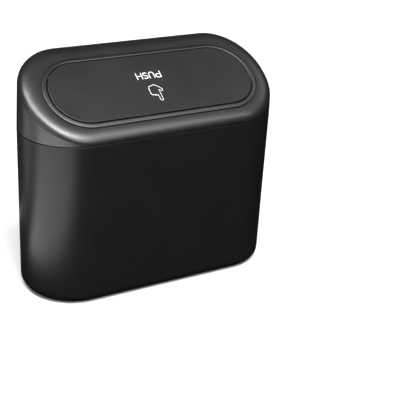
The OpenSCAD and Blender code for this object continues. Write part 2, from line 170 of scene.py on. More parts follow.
class PivotSizes(bpy.types.PropertyGroup):
    pin: length("Pin", 2, "Diameter of the steel pins")
    clearance: length("Clearance", 0.05, "Running clearance around each pin")
    axle_in: length("Axle inset", 3.5, "Distance from the flap's back edge to the axle")
    axle_drop: length("Axle drop", 6, "Depth of the axle below the lid's top")
    lug_radius: length("Lug radius", 3, "Outer radius of lugs and bosses around the axle")
    lug: length("Lug", 3, "Thickness of the flap's lugs")
    lug_past: length("Lug reach", 3, "How far a lug passes the straight part of the back edge")
    boss: length("Boss", 4.2, "Thickness of the lid's bosses")
    boss_end: length("Boss end", 1.2, "Closed end of each boss")
    snap_slot: length("Snap slot", 1.7, "Width of the slot by which the axle snaps in")
    wire: length("Wire", 0.8, "Wire diameter of the torsion springs")
    coil: length("Coil radius", 2, "Mean radius of the coils")
    turns: IntProperty(name="Turns", description="Full turns in each spring", default=4, min=1)
    pitch: length("Pitch", 0.95, "Distance from turn to turn")
    flap_leg: length("Flap leg", 14, "Reach of the spring's leg under the flap")
    lid_leg: length("Lid leg", 9, "Reach of the spring's leg under the lid")


class HingeSizes(bpy.types.PropertyGroup):
    length: length("Length", 79, "Overall length of the hinge")
    knuckle: length("Knuckle", 11, "Length of each outer knuckle")
    play: length("Play", 0.8, "Gap between the knuckles and the lid")
    up: length("Height", 4.3, "Height of the pin above the seam")
    out: length("Stand-off", 1.5, "Distance of the pin behind the back wall")
    barrel: length("Barrel", 6, "Outer diameter of knuckles and barrel")
    strip: length("Strip", 2.4, "Thickness of the strip that carries the knuckles")
    bore_end: length("Bore end", 1.5, "Closed end of the hinge bore")


class ClipSizes(bpy.types.PropertyGroup):
    width: length("Width", 49, "Width of the plate")
    thickness: length("Thickness", 2.2, "Thickness of the clip")
    down: length("Drop", 5.6, "Distance from the seam down to the shoulder")
    fall: length("Shoulder fall", 4.1, "Fall of the shoulder out to the plate")
    gap: length("Gap", 8.4, "Clear space between the bin and the plate")
    plate: length("Plate", 35.5, "Length of the flat part")
    lean: length("Lean height", 8.2, "Height of the part that leans in below the plate")
    throat: length("Throat", 4.5, "How far the throat leans in from the plate")
    lip: length("Lip", 6.1, "Height of the flared lip")
    flare: length("Flare", 4, "How far the lip flares back out")
    bend: length("Bend", 2.4, "Radius of the bends along the middle line")
    leg_width: length("Leg width", 36, "Width of the leg that slides into the socket")
    leg: length("Leg", 20, "Length of the leg")
    clearance: length("Clearance", 0.2, "Clearance between the leg and its socket")
    rail: length("Rail", 2.2, "Width and thickness of the socket's rails")
    nub_width: length("Nub width", 9, "Width of the snap nub")
    nub_height: length("Nub height", 3.6, "Height of the snap nub")
    nub_up: length("Nub place", 6, "Distance from the leg's lower end up to the snap nub")
    side_bevel: length("Side bevel", 1.2, "Width of the bevel along the clip's sides")
    bevel_depth: length("Bevel depth", 0.45, "Depth of the bevel along the clip's sides")


class MarkSizes(bpy.types.PropertyGroup):
    letter_height: length("Letter height", 4.85, "Height of the operating word's letters")
    letter_stroke: length("Letter stroke", 0.62, "Stroke of the letters")
    letter_space: length("Letter space", 0.5, "Space between the letters")
    word_x: length("Word place", -1.05, "Middle of the word along the flap")
    word_u: length("Word height", -0.08, "Middle of the word up the slope")
    hand_stroke: length("Hand stroke", 0.4, "Stroke of the pointing hand")
    ink: length("Ink", 0.04, "Thickness of the printed ink")


class Finishes(bpy.types.PropertyGroup):
    black: colour("Black plastic", (0.0033, 0.0033, 0.0035), "Plastic of bin, lid and clip")
    panel: colour("Panel plastic", (0.0035, 0.0036, 0.004), "Plastic of the flap")
    bin_rough: share("Bin roughness", 0.35, "Mean roughness of the bin")
    lid_rough: share("Lid roughness", 0.34, "Mean roughness of lid and clip")
    panel_rough: share("Panel roughness", 0.36, "Mean roughness of the flap")
    bin_shine: share("Bin shine", 0.13, "Specular level of the bin")
    lid_shine: share("Lid shine", 0.36, "Specular level of lid and clip")
    panel_shine: share("Panel shine", 0.288, "Specular level of the flap")
    ink: colour("Ink", (0.3, 0.3, 0.3), "Printed marks")
    steel: colour("Steel", (0.3, 0.31, 0.33), "Pins and axle")
    steel_rough: share("Steel roughness", 0.42, "Mean roughness of pins and axle")
    spring: colour("Spring steel", (0.5, 0.5, 0.52), "Torsion springs")
    spring_rough: share("Spring roughness", 0.26, "Mean roughness of the springs")
    floor: colour("Floor", (0.5, 0.5, 0.5), "Pale floor")


class Studio(bpy.types.PropertyGroup):
    eye: FloatVectorProperty(
        name="Eye", description="Place of the camera", size=3, subtype="TRANSLATION",
        unit="LENGTH", default=(-0.278305, -0.500620, 0.303172))
    azimuth: angle("Azimuth", -32.44, "Direction of the view about the vertical")
    elevation: angle("Elevation", 24.23, "Height of the view over the floor")
    roll: angle("Roll", 3.42, "Roll of the camera")
    lens: FloatProperty(
        name="Lens", description="Focal length on a 36 mm frame", default=91.976, min=1,
        unit="CAMERA")
    key: power("Key light", 18.6, "Large soft light above and in front of the bin")
    top: power("Top light", 24, "Long soft light overhead, to the left")
    fore: power("Front light", 9, "Weaker soft light in front, for the rim's lower side")
    side: power("Side light", 5, "Weaker soft light above and to the right")
    card: power("Left light", 1.8, "Weak soft light on the left")
    end: power("End light", 1.2, "Weak soft light to the right, for the rim's right end")
    far: power("Far light", 12, "Narrow beam down on the floor behind the bin")
    low: power("Low light", 2.04, "Light on the floor at the left, which the bin mirrors")
    flag: length("Flags", 150, "Height of the upright black cards")
    sky: FloatProperty(name="Sky", description="Strength of the pale surroundings",
                       default=0.06, min=0)


class TrashBin(bpy.types.PropertyGroup):
    bin: PointerProperty(type=BinSizes, name="Bin", description="Sizes of the bin")
    lid: PointerProperty(type=LidSizes, name="Lid", description="Sizes of the lid")
    flap: PointerProperty(type=FlapSizes, name="Flap", description="Sizes of the flap")
    pivot: PointerProperty(type=PivotSizes, name="Pivot", description="Axle and springs")
    hinge: PointerProperty(type=HingeSizes, name="Hinge", description="Sizes of the hinge")
    clip: PointerProperty(type=ClipSizes, name="Clip", description="Sizes of the clip")
    marks: PointerProperty(type=MarkSizes, name="Marks", description="Printed marks")
    finish: PointerProperty(type=Finishes, name="Finishes", description="Colours and gloss")
    studio: PointerProperty(type=Studio, name="Studio", description="Camera and lights")


# Forms shared by several pieces

def outline(cx, cy, r):
    """A rounded rectangle as points, each with the direction that it faces."""
    points = []
    for quarter in range(4):
        sx = 1 if quarter in (0, 3) else -1
        sy = 1 if quarter < 2 else -1
        for i in range(PLAN_STEPS + 1):
            a = math.pi / 2 * (quarter + i / PLAN_STEPS)
            points.append((sx * cx + r * math.cos(a), sy * cy + r * math.sin(a),
                           math.cos(a), math.sin(a)))
    return points


def quarter_turn(steps):
    """Sine and cosine of evenly spaced angles from 0 to 90 degrees."""
    for i in range(steps + 1):
        a = math.pi / 2 * i / steps
        yield math.sin(a), math.cos(a)


def smooth(t):
    t = min(max(t, 0.0), 1.0)
    return t * t * (3 - 2 * t)


def around(front, end, back, dy):
    """A value that runs smoothly from the front over the ends to the back."""
    return end + (back - front) / 2 * dy + ((back + front) / 2 - end) * dy * dy


class Form:
    """Places that follow from the sizes, in metres and in the frame of the part."""

    def __init__(self, context):
        self.s = s = context.scene.trash_bin
        b, l, f, p, h, c = s.bin, s.lid, s.flap, s.pivot, s.hinge, s.clip
        self.centre_x = b.length / 2 - b.end_radius
        self.centre_y = b.depth / 2 - b.end_radius
        self.rise = math.tan(l.slope)
        self.top_z = b.seam + l.front + self.rise * b.depth / 2
        self.back_h = l.front + self.rise * b.depth
        self.lid_z = b.seam + l.seam_gap
        self.step_z = self.lid_z + b.lip + l.seam_gap
        self.top_drop = b.wall / math.cos(l.slope)

        self.open_front = (f.front_margin - b.depth / 2) / math.cos(l.slope) + f.frame_width
        self.open_back = (b.depth / 2 - f.back_margin) / math.cos(l.slope) - f.frame_width
        self.open_half = (self.open_back - self.open_front) / 2
        self.open_mid = (self.open_back + self.open_front) / 2
        self.open_rad = min(f.corner - f.frame_width, self.open_half - MM)
        self.open_cx = b.length / 2 - f.end_margin - f.frame_width - self.open_rad
        self.open_cy = self.open_half - self.open_rad
        self.panel_under = f.frame_height - f.panel

        self.axle_u = self.open_back - f.gap - p.axle_in
        self.axle_n = -p.axle_drop
        self.bore_r = p.pin / 2 + p.clearance
        corner_u = self.open_rad - p.axle_in - f.gap - p.lug_radius - MM
        self.boss_x = self.open_cx + math.sqrt(self.open_rad ** 2 - corner_u ** 2) + SUNK
        self.boss_open = p.boss - p.boss_end
        self.lug_x = self.open_cx + p.lug_past - p.lug
        self.lug_end = self.lug_x + p.lug
        self.spring_x = self.lug_x - p.wire - p.turns * p.pitch
        self.rib_x = self.spring_x - f.rib_in

        self.hinge_y = b.depth / 2 + h.out
        self.hinge_z = b.seam + h.up
        self.barrel_r = h.barrel / 2
        self.barrel_half = h.length / 2 - h.knuckle - h.play
        self.knuckle_x = h.length / 2 - h.knuckle
        self.notch_top = self.hinge_z + self.barrel_r + h.play + 0.5 * MM

        self.leg_y = b.depth / 2 + c.clearance + c.thickness / 2
        self.leg_top = b.seam - c.down
        self.leg_low = self.leg_top - c.leg
        self.rail_in = b.depth / 2 + c.thickness + 2 * c.clearance
        self.rail_out = self.rail_in + c.rail
        self.rail_x = c.leg_width / 2 + c.clearance
        self.rail_top = self.leg_top - c.fall - c.thickness / 2
        self.nub_z = self.leg_low + c.nub_up

    def bin_ring(self, z, inset):
        b = self.s.bin
        drawn = 1 - min(z, b.seam) / b.seam
        r = b.end_radius - b.end_draft * drawn
        cy = b.depth / 2 - b.side_draft * drawn - r
        return [Vector((x, y, z)) for x, y, _, _ in outline(self.centre_x, cy, r - inset)]

    def lip_ring(self, inset, share_up):
        """Ring on the locating lip, which runs out behind the middle."""
        b = self.s.bin
        ring = self.bin_ring(b.seam, inset)
        for p in ring:
            left = smooth((b.lip_back - p.y) / b.lip_run)
            p.z += b.lip * share_up * max(left, LIP_LEFT)
        return ring

    def foot_ring(self, inset, z):
        """Ring of the lid's foot, which follows the bin at the seam."""
        return [Vector((x, y, z)) for x, y, _, _ in
                outline(self.centre_x, self.centre_y, self.s.bin.end_radius - inset)]

    def top_at(self, y):
        return self.top_z + y * self.rise

    def inner_ring(self, step):
        """Ring of the rounding inside the rim, below the top."""
        b, l = self.s.bin, self.s.lid
        ring = []
        for x, y, dx, dy in outline(self.centre_x, self.centre_y, b.end_radius - b.wall):
            rise = math.atan(-self.rise * dy)
            r = around(*l.inner, dy)
            tangent = r / math.tan((math.pi / 2 + rise) / 2)
            high = self.top_at(y) - self.top_drop - tangent - self.lid_z
            lean = l.lean * max(0.0, high) / self.back_h
            turn = math.pi - step * (math.pi / 2 - rise)
            inward = lean + r * (1 + math.cos(turn))
            z = self.top_at(y - lean * dy) - self.top_drop - tangent + r * math.sin(turn)
            ring.append(Vector((x - inward * dx, y - inward * dy, z)))
        return ring

    def crown_ring(self, step):
        """Ring of the rim outside: a conic from the wall to where the crown meets the top."""
        l = self.s.lid
        rate = l.lean / self.back_h
        ring = []
        for x, y, dx, dy in outline(self.centre_x, self.centre_y, self.s.bin.end_radius):
            rise = math.atan(-self.rise * dy)
            r = l.rim[0] + (l.rim[1] - l.rim[0]) * (1 + dy) / 2
            down = r / math.tan((math.pi / 2 + rise) / 2)
            over = around(*l.crown, dy)
            corner_in = rate * (self.top_at(y) - self.lid_z)
            corner_z = self.top_at(y - corner_in * dy)
            wall = Vector((corner_in - rate * down, corner_z - down))
            corner = Vector((corner_in, corner_z))
            top = Vector((corner_in + over, self.top_at(y - (corner_in + over) * dy)))
            pull = math.cos((math.pi / 2 - rise) / 2) * l.crown_full
            a, b, c = (1 - step) ** 2, 2 * pull * step * (1 - step), step ** 2
            q = (wall * a + corner * b + top * c) / (a + b + c)
            ring.append(Vector((x - q.x * dx, y - q.x * dy, q.y)))
        return ring

    def on_top(self, x, u, n):
        """A place along the slope: u runs up it and n stands out of it."""
        slope = self.s.lid.slope
        return Vector((x, u * math.cos(slope) - n * math.sin(slope),
                       self.top_z + u * math.sin(slope) + n * math.cos(slope)))

    def slanted(self, profile, start, end, side=1):
        """A shape in the lid's slope: a profile of u and n, drawn along x."""
        return Solid().skin([[self.on_top(side * x, u, n) for u, n in profile]
                             for x in (start, end)])

    def about_axle(self, profile):
        return [(self.axle_u + u, self.axle_n + n) for u, n in profile]

    def opening_ring(self, out, n):
        return [self.on_top(x, y + self.open_mid, n) for x, y, _, _ in
                outline(self.open_cx, self.open_cy, self.open_rad + out)]

    def flap_ring(self, out, n):
        return self.opening_ring(out - self.s.flap.gap, n)

    def clip_path(self):
        c = self.s.clip
        plate_y = self.s.bin.depth / 2 + c.gap + c.thickness / 2
        plate_top = self.leg_top - c.fall
        plate_low = plate_top - c.plate
        throat_z = plate_low - c.lean
        return [Vector(p) for p in (
            (self.leg_y, self.leg_low), (self.leg_y, self.leg_top), (plate_y, plate_top),
            (plate_y, plate_low), (plate_y - c.throat, throat_z),
            (plate_y - c.throat + c.flare, throat_z - c.lip))]


def lug_profile(r, h):
    """A plate with a half-round end about the pin's axis and its flat end at h."""
    turn = [math.pi * (1 + i / TURN_STEPS * 2) for i in range(TURN_STEPS // 2 + 1)]
    return [(r, h), (-r, h)] + [(r * math.cos(a), r * math.sin(a)) for a in turn]


def rectangle(low, high):
    """The section of a block, whose corners are given as x, y and z."""
    return [(low[1], low[2]), (high[1], low[2]), (high[1], high[2]), (low[1], high[2])]


# Mesh tools

class Solid:
    """Gathers the points and faces of one closed shape."""

    def __init__(self):
        self.bm = bmesh.new()

    def skin(self, rings, closed=False):
        """A skin over rings of points: an endless tube if closed, and otherwise capped."""
        rows = [[self.bm.verts.new(p) for p in ring] for ring in rings]
        pairs = list(zip(rows, rows[1:]))
        if closed:
            pairs.append((rows[-1], rows[0]))
        for a, b in pairs:
            for i in range(len(a)):
                j = (i + 1) % len(a)
                self.bm.faces.new((a[i], a[j], b[j], b[i]))
        if not closed:
            self.bm.faces.new(list(reversed(rows[0])))
            self.bm.faces.new(rows[-1])
        return self

    def prism(self, profile, start, end):
        """A profile of y and z, drawn along x."""
        return self.skin([[Vector((x, y, z)) for y, z in profile] for x in (start, end)])

    def block(self, low, high):
        return self.prism(rectangle(low, high), low[0], high[0])

    def turned(self, profile, y, z, closed=False):
        """A profile of x and radius, turned about an axis along x."""
        rings = []
        for x, r in profile:
            ring = []
            for i in range(TURN_STEPS):
                a = 2 * math.pi * i / TURN_STEPS
                ring.append(Vector((x, y + r * math.cos(a), z + r * math.sin(a))))
            rings.append(ring)
        return self.skin(rings, closed)

    def object(self, name):
        bmesh.ops.recalc_face_normals(self.bm, faces=self.bm.faces)
        mesh = bpy.data.meshes.new(name)
        self.bm.to_mesh(mesh)
        self.bm.free()
        obj = bpy.data.objects.new(name, mesh)
        bpy.context.scene.collection.objects.link(obj)
        return obj


def applied(obj):
    """Turns an object's modifiers into plain mesh."""
    bpy.context.view_layer.update()
    shown = obj.evaluated_get(bpy.context.evaluated_depsgraph_get())
    mesh = bpy.data.meshes.new_from_object(shown)
    old = obj.data
    obj.modifiers.clear()
    obj.data = mesh
    bpy.data.meshes.remove(old)
    mesh.name = obj.name
    return obj


def carve(obj, others, operation="DIFFERENCE"):
    """Cuts other solids out of an object, or fuses them with it."""
    for k, other in enumerate(others):
        tool = other.object(f"{obj.name}_tool_{k}")
        change = obj.modifiers.new("carve", "BOOLEAN")
        change.operation = operation
        change.solver = "EXACT"
        change.object = tool
        applied(obj)
        bpy.data.objects.remove(tool)
    return obj


def fused(name, shapes):
    """One object of several overlapping solids."""
    return carve(shapes[0].object(name), shapes[1:], "UNION")


def soften(obj, width, segments=2):
    """Rounds the sharp edges of a mechanical shape."""
    bevel = obj.modifiers.new("soften", "BEVEL")
    bevel.width = width
    bevel.segments = segments
    bevel.limit_method = "ANGLE"
    bevel.angle_limit = SHARP_ANGLE
    return applied(obj)


# Body, material slot and finish of each node's pieces
NODES = {
    "bin_body": ("bin", "bin_plastic", "satin_bin"),
    "rear_clip": ("bin", "clip_plastic", "satin_clip"),
    "lid_hinge_pin": ("bin", "pin_steel", "drawn_pin"),
    "lid_frame": ("lid", "lid_plastic", "satin_lid"),
    "flap_axle": ("lid", "pin_steel", "drawn_pin"),
    "push_flap": ("flap", "flap_plastic", "satin_panel"),
}


def dress(context, obj, node, finish=None):
    """Gives a piece its shading, finish and body and hides its node's imported part; with a
    finish it is only print and hides nothing.
    """
    body, slot, plain = NODES[node]
    for face in obj.data.polygons:
        face.use_smooth = True
    obj.data.set_sharp_from_angle(angle=SHARP_ANGLE)
    weigh = obj.modifiers.new("even shading", "WEIGHTED_NORMAL")
    weigh.keep_sharp = True
    weigh.weight = 90
    obj.data.materials.clear()
    obj.data.materials.append(material(context, finish or plain))
    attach(obj, body)
    if not finish:
        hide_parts(node)


# Materials

class Value:
    """A socket that carries a number, with arithmetic that adds Math nodes."""

    def __init__(self, finish, socket):
        self.finish = finish
        self.socket = socket

    def _math(self, operation, *terms):
        made = self.finish.node(
            "ShaderNodeMath", {"operation": operation}, dict(enumerate(terms)))
        return Value(self.finish, made.outputs[0])

    def __add__(self, other):
        return self._math("ADD", self, other)

    def __mul__(self, other):
        return self._math("MULTIPLY", self, other)

    __radd__ = __add__
    __rmul__ = __mul__


class Finish:
    """A procedural material around one Principled shader."""

    def __init__(self, name):
        self.material = bpy.data.materials.new(name)
        self.material.use_nodes = True
        self.tree = self.material.node_tree
        self.shader = self.tree.nodes["Principled BSDF"]
        self.place = self.node("ShaderNodeTexCoord").outputs["Object"]

    def node(self, kind, settings=None, inputs=None):
        """Adds a node, sets it, and then gives its sockets values or links."""
        made = self.tree.nodes.new(kind)
        for name, value in (settings or {}).items():
            setattr(made, name, value)
        for name, value in (inputs or {}).items():
            self.put(made.inputs[name], value)
        return made

    def put(self, socket, value):
        if isinstance(value, Value):
            value = value.socket
        if isinstance(value, bpy.types.NodeSocket):
            self.tree.links.new(value, socket)
        else:
            socket.default_value = value

    def feed(self, **inputs):
        """Sets the shader's own sockets; an underscore stands for a space."""
        for name, value in inputs.items():
            self.put(self.shader.inputs[name.replace("_", " ")], value)

    def noise(self, scale, detail=2.0, place=None):
        made = self.node("ShaderNodeTexNoise", {"noise_dimensions": "3D"}, {
            "Vector": place or self.place, "Scale": scale, "Detail": detail})
        return Value(self, made.outputs[0])

    def stretched(self, x):
        """The place on the piece with x scaled, so that a noise runs along it."""
        return self.node("ShaderNodeMapping", {"vector_type": "POINT"}, {
            "Vector": self.place, "Scale": (x, 1.0, 1.0)}).outputs[0]

    def tint(self, dark, light, amount):
        """A colour between two others."""
        made = self.node("ShaderNodeMix", {"data_type": "RGBA"}, {
            "Factor": amount, "A": dark, "B": light})
        return made.outputs[2]

    def bump(self, height, strength, distance):
        return self.node("ShaderNodeBump", {}, {
            "Height": height, "Strength": strength, "Distance": distance}).outputs[0]


def rgba(rgb, gain=1.0):
    return (rgb[0] * gain, rgb[1] * gain, rgb[2] * gain, 1.0)


# Noises of the finishes, in waves per metre, and how deep their bumps are
HAZE, FLOW, GRAIN, LINES, FILM = 38.0, 70.0, 2600.0, 900.0, 900.0
FLOOR_CLOUD, CARD_CLOUD = 3.0, 4.0
GRAIN_DEPTH = 0.06 * MM
LINE_DEPTH = 0.03 * MM


def moulded(name, rgb, roughness, shine):
    """Satin moulded plastic: a spark-eroded grain, faint flow marks and handling haze."""
    f = Finish(name)
    haze, grain = f.noise(HAZE, 3.0), f.noise(GRAIN)
    flow = f.noise(FLOW, 2.0, f.stretched(0.35))
    hazy, grainy = 0.1, 0.05
    f.feed(Base_Color=f.tint(rgba(rgb, 0.9), rgba(rgb, 1.12), haze),
           Roughness=haze * hazy + grain * grainy + (roughness - (hazy + grainy) / 2),
           Normal=f.bump(grain * 0.7 + flow * 0.3, 0.12, GRAIN_DEPTH), Specular_IOR_Level=shine)
    return f.material


def drawn_steel(name, rgb, roughness):
    """Drawn steel: fine lines along the rod."""
    f = Finish(name)
    lines = f.noise(LINES, 3.0, f.stretched(0.04))
    streaky = 0.16
    f.feed(Base_Color=f.tint(rgba(rgb, 0.85), rgba(rgb, 1.1), lines), Metallic=1.0,
           Roughness=lines * streaky + (roughness - streaky / 2),
           Normal=f.bump(lines, 0.15, LINE_DEPTH))
    return f.material


def printed_ink(name, rgb):
    """Pad-printed ink: matt, with a slightly uneven film."""
    f = Finish(name)
    film = f.noise(FILM, 3.0)
    f.feed(Base_Color=f.tint(rgba(rgb, 0.84), rgba(rgb), film), Roughness=film * 0.15 + 0.45,
           Normal=f.bump(film, 0.1, LINE_DEPTH))
    return f.material


def material(context, kind):
    """Finds or makes one of the bin's finishes."""
    made = bpy.data.materials.get(kind)
    if made:
        return made
    s = context.scene.trash_bin.finish
    make, *values = {
        "satin_bin": (moulded, s.black, s.bin_rough, s.bin_shine),
        "satin_lid": (moulded, s.black, s.lid_rough, s.lid_shine),
        "satin_clip": (moulded, s.black, s.lid_rough, s.lid_shine),
        "satin_panel": (moulded, s.panel, s.panel_rough, s.panel_shine),
        "drawn_pin": (drawn_steel, s.steel, s.steel_rough),
        "drawn_wire": (drawn_steel, s.spring, s.spring_rough),
        "white_ink": (printed_ink, s.ink)}[kind]
    return make(kind, *values)


# Pieces

class TRASHBIN_OT_shell(bpy.types.Operator):
    """Builds the bin's shell with its foot, floor, crisp top edge and locating lip"""
    bl_idname = "trash_bin.shell"
    bl_label = "Bin shell"

    def execute(self, context):
        form = Form(context)
        b, l = form.s.bin, form.s.lid
        lip_in = l.skirt + l.lip_gap
        rings = [form.bin_ring(b.foot_radius * (1 - c), b.foot_radius * (1 - s))
                 for s, c in quarter_turn(BEND_STEPS)]
        rings += [form.bin_ring(b.seam - CRISP * (1 - s), CRISP * (1 - c))
                  for s, c in quarter_turn(EDGE_STEPS)]
        rings += [form.lip_ring(lip_in, 0.0), form.lip_ring(lip_in, 0.8),
                  form.lip_ring(lip_in + CRISP, 1.0), form.lip_ring(b.wall, 1.0)]
        rings += [form.bin_ring(b.floor + b.floor_radius * (1 - c),
                                b.wall + b.floor_radius * (1 - s))
                  for s, c in reversed(list(quarter_turn(BEND_STEPS)))]
        shell = Solid().skin(rings).object("bin_shell")
        dress(context, shell, "bin_body")
        return {"FINISHED"}


class TRASHBIN_OT_hinge(bpy.types.Operator):
    """Builds the two knuckles with their strip, the lid's barrel and the hinge pin"""
    bl_idname = "trash_bin.hinge"
    bl_label = "Lid hinge"

    def execute(self, context):
        form = Form(context)
        b, h, p = form.s.bin, form.s.hinge, form.s.pivot
        y, z, r = form.hinge_y, form.hinge_z, form.barrel_r
        upright = [(y - py, z - pz) for py, pz in lug_profile(r, h.up + h.strip)]
        strip = Solid().block((-h.length / 2, b.depth / 2 - SUNK, b.seam - h.strip),
                              (h.length / 2, y + r, b.seam))
        knuckles = fused("hinge_knuckles", [strip] + [
            Solid().prism(upright, start, start + h.knuckle)
            for start in (-h.length / 2, form.knuckle_x)])
        soften(knuckles, CRISP)
        bore = [(h.bore_end - h.length / 2, form.bore_r), (h.length / 2 + MM, form.bore_r)]
        carve(knuckles, [Solid().turned(bore, y, z)])
        dress(context, knuckles, "bin_body")

        half, round_r = form.barrel_half, 0.5 * MM
        bend = [(half - round_r * (1 - s), r - round_r * (1 - c)) for s, c in quarter_turn(4)]
        side = [(-x, q) for x, q in reversed(bend)]
        tube = [(-half, form.bore_r)] + side + bend + [(half, form.bore_r)]
        barrel = Solid().turned(tube, y, z, closed=True).object("hinge_barrel")
        dress(context, barrel, "lid_frame")

        start, end = h.bore_end + form.s.clip.clearance - h.length / 2, h.length / 2
        pin = turned_pin("hinge_pin", start, end, p.pin / 2, y, z)
        dress(context, pin, "lid_hinge_pin")
        return {"FINISHED"}


def turned_pin(name, start, end, r, y, z):
    """A rod along x with chamfered ends."""
    cut = 0.25 * MM
    return Solid().turned([(start, r - cut), (start + cut, r), (end - cut, r), (end, r - cut)],
                          y, z).object(name)


def unit(v):
    return v / v.length


def left_of(v):
    return Vector((-v.y, v.x))


def strip_side(path, r, side):
    """One side of a strip along a path of straight runs joined by bends."""
    points = [path[0] + left_of(unit(path[1] - path[0])) * side]
    for before, here, after in zip(path, path[1:], path[2:]):
        a, b = unit(here - before), unit(after - here)
        turn = math.atan2(a.x * b.y - a.y * b.x, a.dot(b))
        hand = math.copysign(1.0, turn)
        centre = here - a * r * math.tan(abs(turn) / 2) + left_of(a) * hand * r
        arm = left_of(a) * (side - hand * r)
        for i in range(BEND_STEPS + 1):
            points.append(centre + Matrix.Rotation(turn * i / BEND_STEPS, 2) @ arm)
    points.append(path[-1] + left_of(unit(path[-1] - path[-2])) * side)
    return points


class TRASHBIN_OT_clip(bpy.types.Operator):
    """Builds the rear clip with its bevelled sides, and the socket that holds its leg"""
    bl_idname = "trash_bin.clip"
    bl_label = "Rear clip"

    def execute(self, context):
        form = Form(context)
        b, c = form.s.bin, form.s.clip
        path = form.clip_path()

        def section(x, thinner):
            half = c.thickness / 2 - thinner
            left = strip_side(path, c.bend, half)
            right = strip_side(path, c.bend, -half)
            return [Vector((x, p.x, p.y)) for p in left + right[::-1]]

        edge = c.width / 2
        steps = [(edge, c.bevel_depth + CRISP), (edge - CRISP, c.bevel_depth),
                 (edge - c.side_bevel, 0.0)]
        rings = [section(-x, thin) for x, thin in steps]
        rings += [section(x, thin) for x, thin in reversed(steps)]
        clip = Solid().skin(rings).object("rear_clip_plate")
        low_y, low_z = b.depth / 2 - MM, form.leg_low - MM
        cuts = []
        for s in (-1, 1):
            near, far = s * c.leg_width / 2, s * c.width
            cuts.append(Solid().block(
                (min(near, far), low_y, low_z),
                (max(near, far), form.rail_out + c.clearance, form.rail_top + c.clearance)))
        half = c.nub_width / 2 + c.clearance
        cuts.append(Solid().block((-half, low_y, form.nub_z - c.clearance), (
            half, low_y + c.thickness + 2 * MM, form.nub_z + c.nub_height + c.clearance)))
        carve(clip, cuts)
        dress(context, clip, "rear_clip")

        back = b.depth / 2 - b.side_draft - SUNK
        x, t = form.rail_x, c.rail
        ledge = Solid().block((-x - t, back, form.leg_low - t - c.clearance),
                              (x + t, form.rail_out, form.leg_low - c.clearance))
        hook = [(x, back), (x + t, back), (x + t, form.rail_out), (x - t, form.rail_out),
                (x - t, form.rail_in), (x, form.rail_in)]
        rails = [Solid().skin([[Vector((s * px, py, z)) for px, py in hook]
                               for z in (form.leg_low - c.clearance, form.rail_top)])
                 for s in (-1, 1)]
        out = form.leg_y + c.thickness / 4
        nub = [(back, form.nub_z), (out, form.nub_z), (out, form.nub_z + c.nub_height / 4),
               (back, form.nub_z + c.nub_height)]
        nub = Solid().prism(nub, -c.nub_width / 2, c.nub_width / 2)
        socket = soften(fused("clip_socket", [ledge] + rails + [nub]), CRISP)
        dress(context, socket, "bin_body")
        return {"FINISHED"}


# Section of the raised frame, from its foot over to the opening, in shares of its size
FRAME_PROFILE = [
    (1.2, 0.0), (1.165, -0.04), (1.15, -0.4), (1.02, -0.42), (0.995, -0.1), (0.985, 0.25),
    (0.97, 0.45), (0.94, 0.58), (0.88, 0.67), (0.78, 0.735), (0.6, 0.82), (0.48, 0.88),
    (0.38, 0.93), (0.3, 0.95), (0.23, 0.945), (0.16, 0.91), (0.1, 0.84), (0.05, 0.74),
    (0.02, 0.62), (0.0, 0.48)]


class TRASHBIN_OT_lid(bpy.types.Operator):
    """Builds the wedge lid: one skin up the wall, over the rim and through the opening"""
    bl_idname = "trash_bin.lid"
    bl_label = "Lid"

    def execute(self, context):
        form = Form(context)
        b, l, h, f = form.s.bin, form.s.lid, form.s.hinge, form.s.flap
        rings = [form.foot_ring(CRISP * (1 - s), form.lid_z + CRISP * (1 - c))
                 for s, c in quarter_turn(EDGE_STEPS)]
        rings += [form.crown_ring(k / CROWN_STEPS) for k in range(CROWN_STEPS + 1)]
        rings += [form.opening_ring(f.frame_width * out, f.frame_height * n)
                  for out, n in FRAME_PROFILE]
        rings += [form.opening_ring(f.draft, -b.wall)]
        rings += [form.inner_ring(1 - k / BEND_STEPS) for k in range(BEND_STEPS + 1)]
        rings += [form.foot_ring(b.wall, form.step_z), form.foot_ring(l.skirt, form.step_z),
                  form.foot_ring(l.skirt, form.lid_z)]
        lid = Solid().skin(rings, closed=True).object("lid_shell")
        low, high = form.barrel_half, form.barrel_half + h.knuckle + 2 * h.play
        notches = [Solid().block(
            (start, b.depth / 2 - b.wall - MM, b.seam - MM),
            (start + high - low, b.depth / 2 + form.barrel_r, form.notch_top))
            for start in (-high, low)]
        carve(lid, notches)
        dress(context, lid, "lid_frame")
        return {"FINISHED"}


